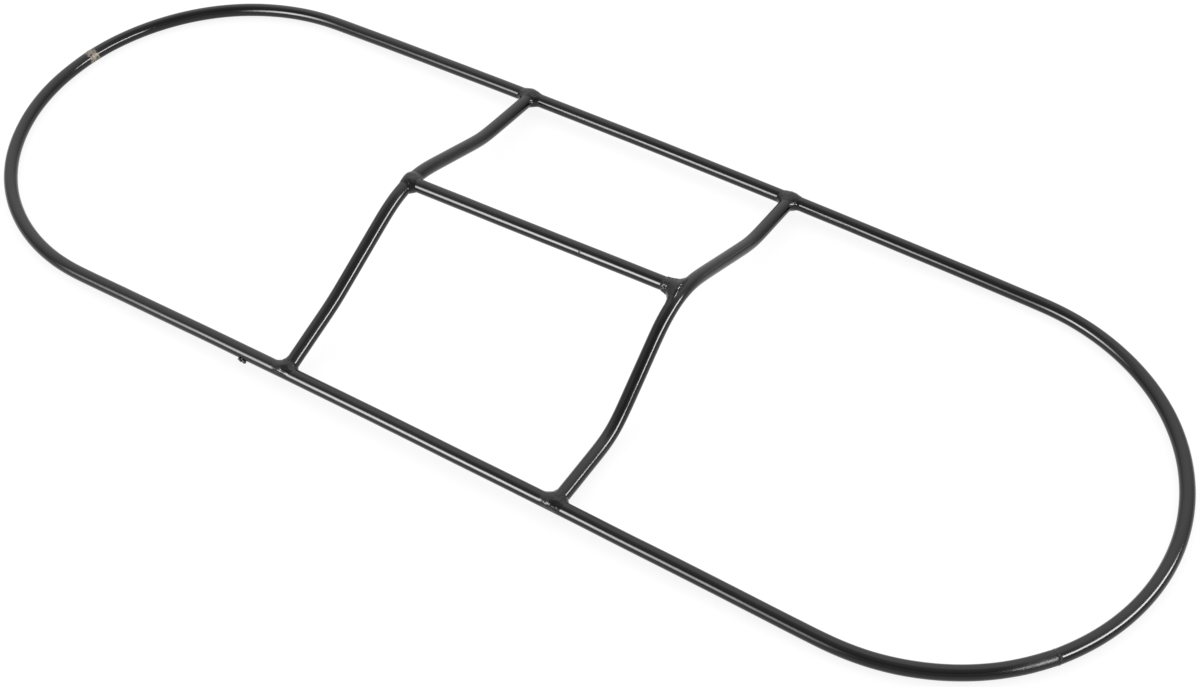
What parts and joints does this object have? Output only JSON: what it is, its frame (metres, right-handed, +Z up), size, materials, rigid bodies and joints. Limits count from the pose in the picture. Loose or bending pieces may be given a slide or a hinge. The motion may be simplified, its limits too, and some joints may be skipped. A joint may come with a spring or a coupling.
{
  "type": "rescue stretcher frame",
  "caption": "Bare welded tube frame for a rescue stretcher: a long rim with round ends, raised cross bars and a ridge bar between their peaks.",
  "frame": {"origin": "on the floor, under the middle of the rim", "axes": "+X along the stretcher, +Y from the front rail to the back rail, +Z up"},
  "size_m": [1.8316, 0.644, 0.1267],
  "materials": {
    "black_paint": "gloss black enamel over steel tube",
    "bare_weld": "dull, scratched and chipped to bare metal"
  },
  "bodies": {
    "root": {"rim_front_half": "black_paint", "rim_back_half": "black_paint", "cross_bar_left": "black_paint", "cross_bar_right": "black_paint", "ridge_bar": "black_paint", "left_bar_weld_front": "black_paint", "left_bar_weld_back": "black_paint", "right_bar_weld_front": "black_paint", "right_bar_weld_back": "black_paint", "ridge_weld_left": "black_paint", "ridge_weld_right": "black_paint", "rim_seam_weld_right": "black_paint", "weld_spatter_nub": "black_paint", "rim_seam_weld_left": "bare_weld"}
  },
  "joints": []
}
